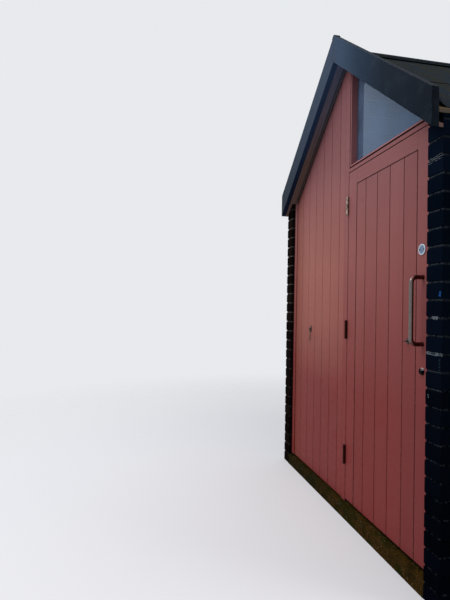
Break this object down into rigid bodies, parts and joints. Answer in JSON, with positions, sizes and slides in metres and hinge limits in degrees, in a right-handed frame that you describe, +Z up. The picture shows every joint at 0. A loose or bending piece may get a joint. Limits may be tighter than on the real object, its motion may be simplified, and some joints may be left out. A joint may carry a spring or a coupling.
{
  "type": "beach hut",
  "caption": "Single-bay seaside beach hut: black-painted brick party walls, steep felted gable roof, pink boarded front with a hinged boarded door and a fixed triangular gable window.",
  "frame": {"origin": "middle of the plan at ground level, on the underside of the floor slab", "axes": "+X along the row towards the door side, +Y from the front into the hut, +Z up"},
  "size_m": [1.9026, 2.35, 2.9193],
  "materials": {
    "painted_brick": "near-black masonry paint over rough brick",
    "concrete": "worn, mossy concrete",
    "pink_paint": "satin coral pink paint on planed boards",
    "bare_timber": "unpainted sawn softwood",
    "slate_paint": "weathered slate grey paint",
    "soffit_paint": "dull brownish paint",
    "roofing_felt": "mineral felt with lichen",
    "lead": "dark folded sheet",
    "window_glass": "clear float glass",
    "hinge_steel": "worn and spotted",
    "satin_steel": "dull satin",
    "black_metal": "gloss black",
    "galvanised_steel": "dull zinc"
  },
  "bodies": {
    "hut": {"floor_slab": "concrete", "left_party_wall": "painted_brick", "right_party_wall": "painted_brick", "back_wall": "painted_brick", "wall_plates": "bare_timber", "eaves_boards": "bare_timber", "rafters": "bare_timber", "ridge_board": "bare_timber", "left_roof_deck": "bare_timber", "right_roof_deck": "bare_timber", "left_roof_covering": "roofing_felt", "right_roof_covering": "roofing_felt", "ridge_capping": "roofing_felt", "left_bargeboard": "slate_paint", "right_bargeboard": "slate_paint", "apex_cap": "lead", "back_left_bargeboard": "slate_paint", "back_right_bargeboard": "slate_paint", "left_soffit": "soffit_paint", "right_soffit": "soffit_paint", "front_panel": "pink_paint", "panel_edge_trim": "pink_paint", "panel_verge_bead": "pink_paint", "panel_jamb": "bare_timber", "panel_rails": "bare_timber", "centre_post": "pink_paint", "lock_jamb": "pink_paint", "transom": "pink_paint", "left_gable_rail": "bare_timber", "right_gable_rail": "pink_paint", "window_glass": "window_glass", "window_beads": "pink_paint", "frame_hinges": "hinge_steel", "holdback_plate": "galvanised_steel"},
    "door": {"door_stiles": "pink_paint", "door_top_rail": "pink_paint", "door_boards": "pink_paint", "door_ledges": "pink_paint", "door_braces": "pink_paint", "door_hinges": "hinge_steel", "pull_handle": "satin_steel", "round_plate": "satin_steel", "door_lock": "black_metal", "holdback_eye": "galvanised_steel"},
    "hook": {"holdback_hook": "galvanised_steel"}
  },
  "joints": [
    {"name": "door_hinge", "type": "hinge", "parent": "hut", "child": "door", "pos_m": [0.0525, -1.0935, 1.1035], "axis": [0, 0, -1], "range_deg": [0, 175]},
    {"name": "hook_swing", "type": "hinge", "parent": "hut", "child": "hook", "pos_m": [-0.5105, -1.0935, 1.08], "axis": [0, 1, 0], "range_deg": [-85, 85]}
  ]
}
